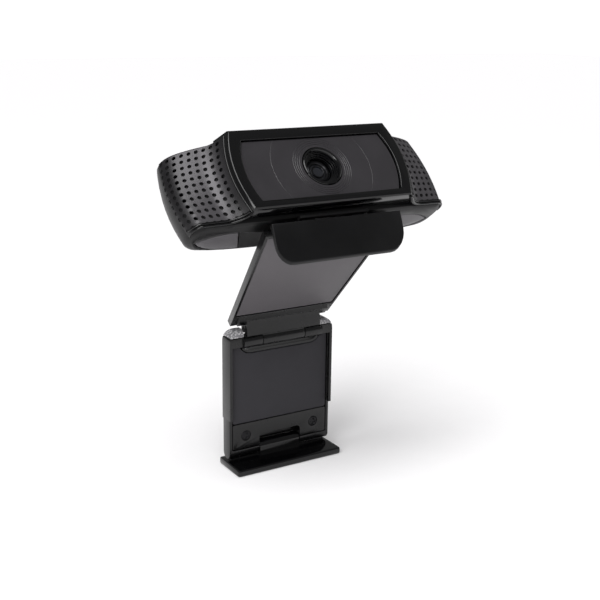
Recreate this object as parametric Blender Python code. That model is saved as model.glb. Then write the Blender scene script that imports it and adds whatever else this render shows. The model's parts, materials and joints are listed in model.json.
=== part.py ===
"""Clip-on webcam standing on its opened monitor clip, each real piece its own solid.

Sizes are in millimetres and MM turns them into Blender's metres. The origin is the centre
of the foot's sole, +X is the webcam's left-to-right as seen from the front, -Y is the
front and +Z is up. Four empties carry the moving groups, each on its joint's axis:
foot_hinge (leg), clip_hinge (clip), head_tilt (camera head) and focus_axis (lens barrel).
"""
import math

import bpy
import bmesh
from mathutils import Matrix, Vector

MM = 0.001
GAP = 0.3  # air between pieces that touch
SEAT = 0.2  # how far a pad, inset or screw head stands clear of its pocket's floor

# Foot
FOOT_WIDTH = 41.2
FOOT_DEPTH = 14.4
FOOT_THICK = 2.5
FOOT_EDGE = 0.7  # rounding of the foot's edges
FOOT_KNUCKLE = 15.8  # length of the foot's hinge knuckle
FOOT_PIN_RADIUS = 0.8
FOOT_HINGE_Y = 2.8  # hinge axis behind the sole's centre
FOOT_STAND = 0.8  # air between the foot's top and the leg
RIDGE_DEPTH = 2.0  # of the low ridge that fills most of that air

# Leg
LEG_WIDTH = 40.5
LEG_THICK = 4.5
LEG_WALL = 1.0  # side walls
LEG_STEP = 0.3  # how much narrower each side is below the step
LEG_STEP_Z = 12.4  # the step, above the foot hinge
LEG_RIM = 1.2  # how far the side walls stand forward above the step
LEG_BACK = 1.4  # back wall
LEG_TOP = 44.3  # shoulders' height above the foot hinge
LEG_SHOULDER = 4.4  # radius of the shoulders, seen from the front
LEG_CROWN = 2.4  # radius of the top, seen from the side
LEG_PAD_THICK = 0.8
PAD_FACE = 0.05  # pad's face behind the leg's front
CORE_THICK = 1.7
COVER_LOW = 1.1  # base cover's lower edge above the foot hinge
COVER_HEIGHT = 9.1
NOTCH_TOP = 5.2  # top of the base cover's notch, above the foot hinge
NOTCH_ROUND = 1.4
SCREW_SPACING = 27.0  # between the base cover's two screws
SCREW_HEAD = 1.7  # radius
SCREW_SHANK = 0.75
SCREW_BITE = 0.7  # how far the base screws reach into the back wall
TRIPOD_Z = 19.0  # tripod insert above the foot hinge
TRIPOD_OUTER = 4.8
TRIPOD_BORE = 3.175  # a quarter-inch thread's radius

# Clip hinge, in the leg's frame
CLIP_AXIS_Y = -2.4
CLIP_AXIS_Z = 40.1
KNUCKLE_RADIUS = 2.5
CLIP_KNUCKLE = 16.2  # length of the clip's middle knuckle
CLIP_PIN_RADIUS = 0.7
RECESS_WIDTH = 30.0  # open place between the leg's shoulders
RECESS_DROP = 3.7  # its floor below the hinge axis
RECESS_ROUND = 3.2
RECESS_WALL = 0.8  # shell left between the recess and the pad's pocket
PAD_HORN = 1.6  # how far the leg's pad reaches up beside the recess
CAP_LOW = 41.8  # lower edge of the shoulders' caps

# Clip plate, in the clip's frame: z runs along the plate, y is its upper side
PLATE_LEAN = 40.3  # degrees forward of upright
PLATE_START = 3.9
PLATE_END = 51.9
PLATE_LOW = 4.15  # underside rim above the hinge axis
PLATE_THICK = 2.3
PLATE_WIDTH_LOW = 38.6
PLATE_WIDTH_HIGH = 46.8
PAD_START = 9.0
PAD_BORDER = 0.8
PAD_THICK = 1.0
PAD_PROUD = 0.15  # pad's face below the rim
NECK_WIDTH = 28.6  # of the web that turns between the shoulders
NECK_LOW = -0.4
NECK_BACK = 5.0
NECK_ROOM = 0.4  # air between it and the leg's knuckles
NECK_END = 8.4
STEP_WIDTH = 34.6  # of the thicker step where the neck joins the plate
STEP_LOW = 3.2

# Lip: the flap that hooks over the front of a screen
LIP_WIDTH = 46.6
LIP_THICK = 1.5
LIP_REACH = 6.2  # below the hinge axis
LIP_ROUND = 5.7
LIP_TOP_Y = 4.63
LIP_TOP_Z = 57.44
LIP_MID_Y = 0.93
LIP_MID_Z = 55.74
LIP_END_Z = 51.74
LIP_PAD_THICK = 0.7
LIP_PAD_WIDTH = 36.0

# Tilt joint, in the clip's frame
TILT_Y = 4.73
TILT_Z = 53.69
TILT_RADIUS = 1.55
TILT_PIN_RADIUS = 0.7
TILT_MIDDLE = 13.0  # clip's middle barrel
TILT_LUG = 4.6  # length of each lug of the head's bracket
TILT_OUTER = 7.0  # clip's outer barrels
BRACKET_DEPTH = 4.0
BRACKET_Y = -0.9  # its middle, clear of the clip's end when the head tilts down
BRACKET_THICK = 0.9

# Head, in its own frame: y runs back from the face, z is up its front
HEAD_LEAN = -40.0  # degrees, tilted back
FACE_FORWARD = 6.4  # face in front of the tilt axis
FACE_ABOVE = 18.1  # face's centre above the tilt axis
HEAD_WIDTH = 95.4
HEAD_DEPTH = 24.4
HEAD_TOP = 13.4
HEAD_BOTTOM = 15.1
HEAD_EDGE = 1.3
HEAD_WALL = 1.8
WING_SWEEP = 2.8  # how far back the wings' outer cheeks lie
WING_TAPER = 1.0  # how far forward of the middle of the back their back corners lie
WING_TWIST = 0.12  # how much more that is for each millimetre higher up
WING_BARREL = 1.9  # how much narrower the head is at its bottom than at its widest
WING_DROOP = 0.05  # share of its height that the head loses towards its tips, above its middle
WING_LIFT = 0.015  # the same below its middle
WING_ROOT = 25.0  # where that starts, from the middle
BEZEL_WIDTH = 56.9
BEZEL_HEIGHT = 27.2
BEZEL_BULGE = 2.6  # how far the bezel's sides bow out
BEZEL_FLARE = 2.6  # how much the bezel widens towards its back, each side
BEZEL_DEPTH = 5.6
BEZEL_WALL = 1.6
PANEL_WIDTH = 49.4
PANEL_HEIGHT = 20.4
PANEL_DROP = 0.7  # panel's centre below the face's centre
PANEL_BULGE = 2.3
PANEL_RECESS = 0.8
PANEL_THICK = 1.5
GRILLE_THICK = 1.1
GRILLE_HEIGHT = 23.0
GRILLE_INNER = 1.3  # its inner edge outside the bezel
GRILLE_OUTER = 1.5  # its outer edge inside the wing's tip
GRILLE_DEPTH = 15.0  # its window reaches this far back from the face
INSET_THICK = 0.6

# Lens and electronics
LENS_RING_RADIUS = 6.6
LENS_RING_DEPTH = 4.6
LENS_MOUTH = 5.5
LENS_THROAT = 3.9
LENS_GLASS_RADIUS = 4.5
LENS_GLASS_THICK = 0.7
HOLDER_WIDTH = 15.0
HOLDER_START = 6.4
HOLDER_DEPTH = 6.4
BARREL_RADIUS = 3.7
BARREL_DEPTH = 5.4
BOARD_Y = 14.6
BOARD_THICK = 1.6
BOARD_WIDTH = 56.0
BOARD_HEIGHT = 20.0
POST_X = 24.6
POST_Z = 7.2
POST_RADIUS = 1.9
BOARD_SCREW_HEAD = 1.4  # radius
BOARD_SCREW_THICK = 0.8
BOARD_SCREW_LENGTH = 3.6
MIC_X = 39.0
MIC_RADIUS = 2.2
MIC_Y = 13.6
MIC_DEPTH = 2.4
PIPE_X = 12.5
INLET_Z = -6.5
INLET_RADIUS = 2.9

# sRGB colours, roughness and metallic value of each finish
FINISHES = {
    "gloss_black": ("0c0c0e", 0.12, 0.0),
    "satin_black": ("1b1b1e", 0.35, 0.0),
    "soft_grey": ("4b494b", 0.6, 0.0),
    "grille_grey": ("3c3b3d", 0.5, 0.0),
    "panel_grey": ("403c3e", 0.4, 0.0),
    "rubber": ("3a393c", 0.7, 0.0),
    "steel": ("9a9a9c", 0.3, 1.0),
    "brass": ("b08d4a", 0.3, 1.0),
    "aluminium": ("a8a9ab", 0.35, 1.0),
    "board_green": ("1d4a2f", 0.5, 0.0),
    "glass": ("20242c", 0.03, 0.0),
    "clear": ("c9ccd0", 0.15, 0.0),
    "frosted": ("a0a0a2", 0.7, 0.0),
}


# ---- scene and small tools ----

def clear_scene():
    for obj in list(bpy.data.objects):
        bpy.data.objects.remove(obj, do_unlink=True)


def collection(name):
    group = bpy.data.collections.new(name)
    bpy.context.scene.collection.children.link(group)
    return group


def linear(channel):
    return channel / 12.92 if channel <= 0.04045 else ((channel + 0.055) / 1.055) ** 2.4


def material(name, finish):
    colour, roughness, metallic = FINISHES[finish]
    result = bpy.data.materials.new(name)
    result.use_nodes = True
    shader = result.node_tree.nodes["Principled BSDF"]
    rgb = [linear(int(colour[i:i + 2], 16) / 255) for i in (0, 2, 4)]
    shader.inputs["Base Color"].default_value = (*rgb, 1)
    shader.inputs["Roughness"].default_value = roughness
    shader.inputs["Metallic"].default_value = metallic
    return result


def frame(name, parent, place, lean=0.0):
    """An empty on a joint's axis; its children turn or slide with it."""
    empty = bpy.data.objects.new(name, None)
    empty.location = Vector(place) * MM
    empty.rotation_euler.x = math.radians(lean)
    empty.parent = parent
    PARTS.objects.link(empty)
    return empty


def shape(bm, name="shape"):
    """Turn a bmesh in millimetres into an object in metres, kept out of the parts."""
    bmesh.ops.scale(bm, vec=(MM, MM, MM), verts=bm.verts)
    bmesh.ops.recalc_face_normals(bm, faces=bm.faces)
    mesh = bpy.data.meshes.new(name)
    bm.to_mesh(mesh)
    bm.free()
    obj = bpy.data.objects.new(name, mesh)
    CUTTERS.objects.link(obj)
    obj.hide_render = True
    obj.display_type = "WIRE"
    return obj


def block(size, centre, edge=0.0):
    bm = bmesh.new()
    bmesh.ops.create_cube(bm, size=1)
    bmesh.ops.scale(bm, vec=size, verts=bm.verts)
    bmesh.ops.translate(bm, vec=centre, verts=bm.verts)
    if edge:
        bmesh.ops.bevel(bm, geom=bm.edges, offset=edge, segments=2, profile=0.5, affect="EDGES")
    return shape(bm)


def rod(radius, length, centre, axis="X", segments=32, edge=0.0):
    bm = bmesh.new()
    bmesh.ops.create_cone(bm, cap_ends=True, segments=segments, radius1=radius,
                          radius2=radius, depth=length)
    turn = {"X": Matrix.Rotation(math.pi / 2, 3, "Y"), "Y": Matrix.Rotation(math.pi / 2, 3, "X"),
            "Z": Matrix.Identity(3)}[axis]
    if edge:
        rims = [e for e in bm.edges if len(e.link_faces[0].verts) > 4 or len(e.link_faces[1].verts) > 4]
        bmesh.ops.bevel(bm, geom=rims, offset=edge, segments=2, profile=0.5, affect="EDGES")
    bmesh.ops.rotate(bm, matrix=turn, verts=bm.verts)
    bmesh.ops.translate(bm, vec=centre, verts=bm.verts)
    return shape(bm)


def prism(outline, start, end, axis="X"):
    """A flat outline pushed through from start to end.

    Its points are (y, z) for axis X, (x, z) for axis Y and (x, y) for axis Z.
    """
    curve = bpy.data.curves.new("outline", "CURVE")
    curve.dimensions = "2D"
    curve.fill_mode = "BOTH"
    curve.extrude = abs(end - start) / 2
    spline = curve.splines.new("POLY")
    spline.points.add(len(outline) - 1)
    for point, (u, v) in zip(spline.points, outline):
        point.co = (u, v, 0, 1)
    spline.use_cyclic_u = True
    drawn = bpy.data.objects.new("outline", curve)
    bpy.context.scene.collection.objects.link(drawn)
    bpy.context.view_layer.update()
    mesh = bpy.data.meshes.new_from_object(drawn.evaluated_get(bpy.context.evaluated_depsgraph_get()))
    bpy.data.objects.remove(drawn)
    bpy.data.curves.remove(curve)
    bm = bmesh.new()
    bm.from_mesh(mesh)
    bpy.data.meshes.remove(mesh)
    bmesh.ops.remove_doubles(bm, verts=bm.verts, dist=0.0001)
    middle = (start + end) / 2
    columns = {"X": ((0, 0, 1), (1, 0, 0), (0, 1, 0)), "Y": ((1, 0, 0), (0, 0, 1), (0, 1, 0)),
               "Z": ((1, 0, 0), (0, 1, 0), (0, 0, 1))}[axis]
    offset = Vector({"X": (middle, 0, 0), "Y": (0, middle, 0), "Z": (0, 0, middle)}[axis])
    turn = Matrix(columns)
    for vert in bm.verts:
        vert.co = turn @ vert.co + offset
    return shape(bm)


def loft(rings):
    """A closed solid through rings of equal point count; the first and last are capped."""
    bm = bmesh.new()
    levels = [[bm.verts.new(point) for point in ring] for ring in rings]
    count = len(rings[0])
    for low, high in zip(levels, levels[1:]):
        for i in range(count):
            j = (i + 1) % count
            bm.faces.new((low[i], low[j], high[j], high[i]))
    bm.faces.new(levels[0])
    bm.faces.new(levels[-1])
    return shape(bm)


def turned(profile, centre, segments=48):
    """A ring or cup turned about an axis along Y; profile points are (radius, y)."""
    bm = bmesh.new()
    verts = [bm.verts.new((radius, 0, y)) for radius, y in profile]
    edges = [bm.edges.new((a, b)) for a, b in zip(verts, verts[1:] + verts[:1])]
    bmesh.ops.spin(bm, geom=verts + edges, cent=(0, 0, 0), axis=(0, 0, 1), dvec=(0, 0, 0),
                   angle=2 * math.pi, steps=segments, use_merge=True)
    bmesh.ops.remove_doubles(bm, verts=bm.verts, dist=0.0001)
    bmesh.ops.rotate(bm, matrix=Matrix.Rotation(-math.pi / 2, 3, "X"), verts=bm.verts)
    bmesh.ops.translate(bm, vec=centre, verts=bm.verts)
    return shape(bm)


def arc(centre, radius, first, last, steps=6):
    """Points on an arc from one angle to another, in degrees."""
    turns = [math.radians(first + (last - first) * i / steps) for i in range(steps + 1)]
    return [(centre[0] + radius * math.cos(t), centre[1] + radius * math.sin(t)) for t in turns]


def bezier(start, pull, push, end, steps=6):
    """Points on a cubic curve, without its end point."""
    result = []
    for i in range(steps):
        t = i / steps
        weights = ((1 - t) ** 3, 3 * t * (1 - t) ** 2, 3 * t * t * (1 - t), t ** 3)
        result.append(tuple(sum(w * p[k] for w, p in zip(weights, (start, pull, push, end)))
                            for k in (0, 1)))
    return result


def rounded_box(u0, u1, v0, v1, radius, steps=5):
    """A rectangle with round corners, counter-clockwise."""
    return (arc((u1 - radius, v1 - radius), radius, 0, 90, steps)
            + arc((u0 + radius, v1 - radius), radius, 90, 180, steps)
            + arc((u0 + radius, v0 + radius), radius, 180, 270, steps)
            + arc((u1 - radius, v0 + radius), radius, 270, 360, steps))


def bowed_box(half_width, half_height, bulge, drop=0.0, steps=8):
    """The face's outline: flat top and bottom, and sides that bow outwards."""
    heights = [half_height * (1 - 2 * i / steps) for i in range(steps + 1)]
    right = [(half_width + bulge * (1 - (z / half_height) ** 2), z - drop) for z in heights]
    return right + [(-x, z) for x, z in reversed(right)]


def inset(points, distance):
    """Move a closed outline's points inwards by a distance."""
    result = []
    count = len(points)
    area = sum(points[i][0] * points[(i + 1) % count][1] - points[(i + 1) % count][0] * points[i][1]
               for i in range(count))
    side = 1 if area > 0 else -1
    for i, (u, v) in enumerate(points):
        before, after = Vector(points[i - 1]), Vector(points[(i + 1) % count])
        here = Vector((u, v))
        first = (here - before).normalized()
        second = (after - here).normalized()
        normal = Vector((-(first + second).y, (first + second).x)).normalized() * side
        spread = max(normal.dot(Vector((-first.y, first.x)) * side), 0.5)
        moved = here + normal * (distance / spread)
        result.append((moved.x, moved.y))
    return result


def boolean(obj, other, operation):
    step = obj.modifiers.new(operation.lower(), "BOOLEAN")
    step.operation = operation
    step.object = other
    step.solver = "EXACT"
    other.parent = obj
    return obj


def cut(obj, *others):
    for other in others:
        boolean(obj, other, "DIFFERENCE")
    return obj


def join(obj, *others):
    for other in others:
        boolean(obj, other, "UNION")
    return obj


def keep(obj, other):
    return boolean(obj, other, "INTERSECT")


def part(obj, name, finish, parent=None, place=(0, 0, 0)):
    """Name a finished shape and move it in with the parts, on its moving frame."""
    CUTTERS.objects.unlink(obj)
    PARTS.objects.link(obj)
    obj.hide_render = False
    obj.display_type = "TEXTURED"
    obj.name = name
    obj.data.name = name
    obj.parent = parent
    obj.location = Vector(place) * MM
    obj.data.materials.append(material(name, finish))
    obj.data.shade_smooth()
    obj.data.set_sharp_from_angle(angle=math.radians(35))
    return obj


def screw(name, parent, place, head, length, thick):
    """A pan-head screw along Y with a cross slot; its head faces -Y."""
    body = rod(head, thick, (0, thick / 2, 0), "Y", 28, 0.2)
    join(body, rod(SCREW_SHANK, length + 0.2, (0, thick + length / 2 - 0.1, 0), "Y", 20))
    slot = head * 0.36
    cut(body, block((head * 1.3, thick, slot), (0, 0, 0)), block((slot, thick, head * 1.3), (0, 0, 0)))
    part(body, name, "satin_black", parent, place)


# ---- foot ----

def make_foot():
    foot = block((FOOT_WIDTH, FOOT_DEPTH, FOOT_THICK), (0, 0, FOOT_THICK / 2), FOOT_EDGE)
    half = FOOT_KNUCKLE / 2
    radius = LEG_THICK / 2
    web = [(FOOT_HINGE_Y - radius, FOOT_THICK - 1), (FOOT_HINGE_Y + radius, FOOT_THICK - 1)]
    web += arc((FOOT_HINGE_Y, FOOT_HINGE_Z), radius, 0, 180, 14)
    join(foot, prism(web, -half, half))
    ridge_centre = (0, FOOT_HINGE_Y, FOOT_THICK + (FOOT_STAND - GAP) / 2)
    join(foot, block((LEG_INNER, RIDGE_DEPTH, FOOT_STAND - GAP / 2), ridge_centre))
    cut(foot, rod(FOOT_PIN_RADIUS + GAP / 2, FOOT_KNUCKLE * 2, (0, FOOT_HINGE_Y, FOOT_HINGE_Z), "X", 24))
    part(foot, "foot", "gloss_black")
    pin_length = LEG_INNER - 2 * GAP
    pin = rod(FOOT_PIN_RADIUS, pin_length, (0, FOOT_HINGE_Y, FOOT_HINGE_Z), "X", 24)
    part(pin, "foot_pin", "steel")


# ---- leg ----

def leg_outline():
    half = LEG_WIDTH / 2
    top = arc((half - LEG_SHOULDER, LEG_TOP - LEG_SHOULDER), LEG_SHOULDER, 0, 90, 7)
    low = half - LEG_STEP
    right = [(low, -LEG_THICK), (low, LEG_STEP_Z - LEG_STEP), (half, LEG_STEP_Z)] + top
    return right + [(-x, z) for x, z in reversed(right)]


def leg_form():
    """The leg's outer form: round at the foot and crown, with proud rims above the step."""
    front = -LEG_THICK / 2
    rim_front = front - LEG_RIM
    crown = LEG_TOP - LEG_CROWN
    form = prism(leg_outline(), -LEG_THICK * 2, LEG_THICK * 2, "Y")
    side = prism([(front, crown)] + arc((0, 0), LEG_THICK / 2, 180, 360, 16) + [(-front, crown)],
                 -LEG_WIDTH, LEG_WIDTH)
    upper = [(-front, LEG_STEP_Z)] + arc((-front - LEG_CROWN, crown), LEG_CROWN, 0, 90, 7)
    upper += arc((rim_front + LEG_CROWN, crown), LEG_CROWN, 90, 180, 7) + [(rim_front, LEG_STEP_Z)]
    join(side, prism(upper, -LEG_WIDTH, LEG_WIDTH))
    between = LEG_WIDTH - 2 * LEG_WALL
    hollow = (0, front - LEG_THICK, PAD_TOP + GAP - LEG_TOP * 1.5)
    cut(side, block((between, LEG_THICK * 2, LEG_TOP * 3), hollow))
    return keep(form, side)


def recess(margin, start, end):
    """A cutter for the open place between the shoulders, grown by a margin."""
    half = RECESS_WIDTH / 2 + margin
    outline = rounded_box(-half, half, RECESS_LOW - margin, LEG_TOP + 9, RECESS_ROUND + margin)
    return prism(outline, start, end, "Y")


def cap_zone(sign, low):
    """A cutter for everything of a shoulder above a height."""
    width = LEG_WIDTH / 2
    middle = sign * (RECESS_WIDTH / 2 - 1 + width / 2)
    return block((width, LEG_THICK * 4, LEG_TOP), (middle, 0, low + LEG_TOP / 2))


def make_leg():
    front = -LEG_THICK / 2
    back = LEG_THICK / 2
    shell = leg_form()
    inner = LEG_INNER / 2
    pocket_floor = back - LEG_BACK
    pocket_outline = rounded_box(-inner, inner, COVER_LOW - GAP, PAD_TOP + GAP, 0.6)
    pocket = prism(pocket_outline, front - 2, pocket_floor, "Y")
    cut(shell, cut(pocket, recess(RECESS_WALL, front - 3, back)))
    cut(shell, recess(0, front - 4, back + 1))
    axis = (CLIP_AXIS_Y, CLIP_AXIS_Z)
    start = CLIP_KNUCKLE / 2 + GAP
    length = RECESS_WIDTH / 2 + RECESS_WALL / 2 - start
    for sign in (-1, 1):
        centre = (sign * (start + length / 2), *axis)
        join(shell, rod(KNUCKLE_RADIUS, length, centre, "X", 36))
    # the foot's notch: open to the front, and close round the knuckle at the back
    half_notch = FOOT_KNUCKLE / 2 + GAP
    reach = LEG_THICK / 2 + GAP / 2
    notch_side = [(-LEG_THICK, -2 * LEG_THICK), (LEG_THICK, -2 * LEG_THICK), (LEG_THICK, 0)]
    notch_side += arc((0, 0), reach, 0, 90, 8) + [(-LEG_THICK, reach)]
    cut(shell, prism(notch_side, -half_notch, half_notch))
    cut(shell, rod(FOOT_PIN_RADIUS + GAP / 2, LEG_INNER, (0, 0, 0), "X", 24))
    pin_length = LEG_WIDTH - 4 * LEG_WALL
    cut(shell, rod(CLIP_PIN_RADIUS + GAP / 2, pin_length + 2 * GAP, (0, *axis), "X", 24))
    for sign, side_name in ((-1, "left"), (1, "right")):
        cut(shell, cap_zone(sign, CAP_LOW - GAP))
        cap = keep(leg_form(), cap_zone(sign, CAP_LOW))
        cut(cap, recess(0, front - 4, back + 1))
        part(cap, "hinge_cap_" + side_name, "frosted", FOOT_HINGE)
        # a blind hole that leaves the back wall whole
        screw_place = (sign * SCREW_SPACING / 2, pocket_floor, SCREW_Z)
        cut(shell, rod(SCREW_SHANK + GAP / 2, 2 * (SCREW_BITE + GAP), screw_place, "Y", 20))
    cut(shell, rod(TRIPOD_OUTER + GAP / 2, LEG_THICK * 2, (0, back, TRIPOD_Z), "Y", 40))
    part(shell, "leg_shell", "satin_black", FOOT_HINGE)
    part(rod(CLIP_PIN_RADIUS, pin_length, (0, *axis), "X", 24), "hinge_pin", "steel", FOOT_HINGE)

    half_width = LEG_INNER / 2 - GAP
    pad_low = COVER_LOW + COVER_HEIGHT + GAP
    face = front + PAD_FACE
    pad_outline = rounded_box(-half_width, half_width, pad_low, PAD_TOP, 0.8)
    pad = prism(pad_outline, face, face + LEG_PAD_THICK, "Y")
    cut(pad, recess(RECESS_WALL + GAP, front - 3, back))
    part(pad, "leg_pad", "rubber", FOOT_HINGE)

    core_low = NOTCH_TOP + NOTCH_ROUND
    core_top = RECESS_LOW - RECESS_WALL - GAP
    core_start = pocket_floor - GAP / 2 - CORE_THICK
    core_outline = rounded_box(-half_width, half_width, core_low, core_top, 1.0)
    core = prism(core_outline, core_start, core_start + CORE_THICK, "Y")
    cut(core, rod(TRIPOD_OUTER + GAP / 2, LEG_THICK * 2, (0, 0, TRIPOD_Z), "Y", 40))
    for sign in (-1, 1):
        place = (sign * SCREW_SPACING / 2, 0, SCREW_Z)
        cut(core, rod(SCREW_SHANK + GAP / 2, LEG_THICK * 2, place, "Y", 20))
    part(core, "leg_core", "steel", FOOT_HINGE)

    cover_outline = rounded_box(-half_width, half_width, COVER_LOW, COVER_LOW + COVER_HEIGHT, 0.5)
    notch = rounded_box(-half_notch, half_notch, -LEG_THICK * 2, NOTCH_TOP, NOTCH_ROUND)
    cover = prism(cover_outline, face, face + LEG_PAD_THICK, "Y")
    cut(cover, prism(notch, front - 1, -front + 1, "Y"))
    for sign, side_name in ((-1, "left"), (1, "right")):
        place = (sign * SCREW_SPACING / 2, face, SCREW_Z)
        cut(cover, rod(SCREW_SHANK + GAP / 2, LEG_THICK * 2, place, "Y", 20))
        cut(cover, rod(SCREW_HEAD + GAP / 2, 2 * SCREW_SINK, place, "Y", 28))
        length = pocket_floor + SCREW_BITE - face - SCREW_SINK + SEAT
        screw("base_screw_" + side_name, FOOT_HINGE, place, SCREW_HEAD, length, SCREW_SINK - SEAT)
    part(cover, "base_cover", "satin_black", FOOT_HINGE)

    depth = LEG_THICK - LEG_PAD_THICK - GAP
    insert = turned([(TRIPOD_BORE, -depth), (TRIPOD_OUTER, -depth), (TRIPOD_OUTER, 0), (TRIPOD_BORE, 0)],
                    (0, back, TRIPOD_Z), 40)
    part(insert, "tripod_insert", "brass", FOOT_HINGE)


# ---- clip ----

def tapered(start, end, border):
    """The plate's outline between two places along it, inside a border."""
    def half(z):
        share = (z - PLATE_START) / (PLATE_END - PLATE_START)
        return (PLATE_WIDTH_LOW + (PLATE_WIDTH_HIGH - PLATE_WIDTH_LOW) * share) / 2 - border
    return [(half(start), start), (half(end), end), (-half(end), end), (-half(start), start)]


def make_clip():
    high = PLATE_LOW + PLATE_THICK
    plate = prism(tapered(PLATE_START, PLATE_END, 0), PLATE_LOW, high, "Y")
    # neck: a web round the leg's knuckles, then the middle knuckle on the hinge
    inside = arc((0, 0), NECK_REACH, 98, 10, 8)
    web = inside + [(NECK_BACK, 2.6), (high - GAP, 4.6), (high - GAP, NECK_END), (PLATE_LOW + GAP, NECK_END),
                    (2.2, 5.6), (NECK_LOW, NECK_REACH + 0.3)]
    join(plate, prism(web, -NECK_WIDTH / 2, NECK_WIDTH / 2))
    step = [(STEP_LOW, 4.7), (high - GAP, 4.7), (high - GAP, NECK_END), (PLATE_LOW + GAP, NECK_END),
            (STEP_LOW, NECK_END - 1)]
    join(plate, prism(step, -STEP_WIDTH / 2, STEP_WIDTH / 2))
    half_knuckle = CLIP_KNUCKLE / 2
    tongue = arc((0, 0), KNUCKLE_RADIUS, 100, 370, 20)
    tongue += [(NECK_BACK - 1, 4.0), (NECK_LOW + GAP, NECK_REACH + 0.2)]
    join(plate, prism(tongue, -half_knuckle, half_knuckle))
    cut(plate, rod(CLIP_PIN_RADIUS + GAP / 2, CLIP_KNUCKLE * 2, (0, 0, 0), "X", 24))
    # pocket for the pad
    cut(plate, prism(tapered(PAD_START, PLATE_END - 1.2, PAD_BORDER), PLATE_LOW - 3, PAD_FLOOR, "Y"))
    # the tilt joint's barrels, with room cut for the lugs between them
    reach = TILT_MIDDLE + 2 * (TILT_LUG + GAP * 2) + 2 * TILT_OUTER
    web_low = TILT_Y - TILT_RADIUS
    beam = [(web_low, PLATE_END - 1), (web_low, TILT_Z), (TILT_Y, TILT_Z), (high - 0.6, PLATE_END - 1)]
    join(plate, prism(beam, -reach / 2, reach / 2))
    join(plate, rod(TILT_RADIUS, reach, (0, TILT_Y, TILT_Z), "X", 28))
    for sign in (-1, 1):
        low, top = TILT_Z - TILT_RADIUS - 2 * GAP, TILT_Z + 2 * TILT_RADIUS
        room = (TILT_LUG + 2 * GAP, 4 * PLATE_THICK, top - low)
        cut(plate, block(room, (sign * LUG_X, TILT_Y, (low + top) / 2)))
    cut(plate, rod(TILT_PIN_RADIUS + GAP / 2, reach * 2, (0, TILT_Y, TILT_Z), "X", 20))
    part(plate, "clip_plate", "satin_black", CLIP_HINGE)

    pad = prism(tapered(PAD_START + GAP, PLATE_END - 1.2 - GAP, PAD_BORDER + GAP),
                PLATE_LOW + PAD_PROUD, PLATE_LOW + PAD_PROUD + PAD_THICK, "Y")
    part(pad, "clip_pad", "soft_grey", CLIP_HINGE)

    part(rod(TILT_PIN_RADIUS, reach - 2 * GAP, (0, TILT_Y, TILT_Z), "X", 20), "tilt_pin", "steel", CLIP_HINGE)
    make_lip()


def lip_curve(offset, steps=8):
    """The lip's section, as (y, z) points from its top to its lower edge."""
    points = []
    for i in range(steps + 1):
        t = i / steps
        a, b, c = (1 - t) * (1 - 2 * t), 4 * t * (1 - t), t * (2 * t - 1)
        y = a * LIP_TOP_Y + b * LIP_MID_Y + c * -LIP_REACH
        z = a * LIP_TOP_Z + b * LIP_MID_Z + c * LIP_END_Z
        points.append((y, z - offset))
    return points


def make_lip():
    section = lip_curve(0) + list(reversed(lip_curve(LIP_THICK)))
    lip = prism(section, -LIP_WIDTH, LIP_WIDTH)
    half = LIP_WIDTH / 2
    bottom = arc((half - LIP_ROUND, -LIP_REACH + LIP_ROUND), LIP_ROUND, 0, -90, 6)
    top = LIP_TOP_Y + 1
    outline = ([(half, top)] + bottom + [(-x, y) for x, y in reversed(bottom)] + [(-half, top)])
    keep(lip, prism(outline, LIP_END_Z - 9, LIP_TOP_Z + 9, "Z"))
    part(lip, "lip", "satin_black", CLIP_HINGE)

    # the pad's section follows the lip's inner face
    inner = lip_curve(LIP_THICK + GAP)
    outer = lip_curve(LIP_THICK + GAP + LIP_PAD_THICK)
    low, count = 3, 4
    section = inner[low:low + count] + list(reversed(outer[low:low + count]))
    pad = prism(section, -LIP_PAD_WIDTH / 2, LIP_PAD_WIDTH / 2)
    part(pad, "lip_pad", "rubber", CLIP_HINGE)


# ---- head ----

def wing_start(z):
    """Half width of the head where its wings leave the bezel."""
    half_height = BEZEL_HEIGHT / 2
    bow = max(1 - (z / half_height) ** 2, 0)
    return BEZEL_WIDTH / 2 + BEZEL_FLARE + BEZEL_BULGE * bow


def wing_tip(z):
    """Half width of the head at a height."""
    return HEAD_WIDTH / 2 - WING_BARREL * (z / HEAD_BOTTOM) ** 2


def head_plan(z):
    """The head's plan outline at a height, as (x, y) points, right half then left."""
    tip = wing_tip(z)
    back = HEAD_DEPTH - (HEAD_WIDTH / 2 - tip) * 0.6
    corner = back - WING_TAPER
    inner = wing_start(z)
    front = BEZEL_DEPTH + GAP
    cheek = front + WING_SWEEP + WING_TWIST * z
    right = bezier((inner, front), (inner + 2.9, front + 0.9), (tip - 6.4, (front + cheek) / 2),
                   (tip - 2.8, cheek), 10)
    right += bezier((tip - 2.8, cheek), (tip - 1.6, cheek + 0.8), (tip, cheek + 2.4), (tip, cheek + 4.6), 5)
    right += bezier((tip, cheek + 4.6), (tip, corner - 4.6), (tip - 1.6, corner - 2.2),
                    (tip - 5.0, corner - 1.2), 6)
    right += bezier((tip - 5.0, corner - 1.2), (tip - 16, corner + 1.6), (14, back), (0, back), 7)
    left = [(-x, y) for x, y in reversed(right)]
    return right + [(0, back)] + left


def droop(x, z):
    """The share of its height that the head keeps at a distance from the middle."""
    along = max(abs(x) - WING_ROOT, 0) / (HEAD_WIDTH / 2 - WING_ROOT)
    return 1 - (WING_DROOP if z > 0 else WING_LIFT) * along ** 2


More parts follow.
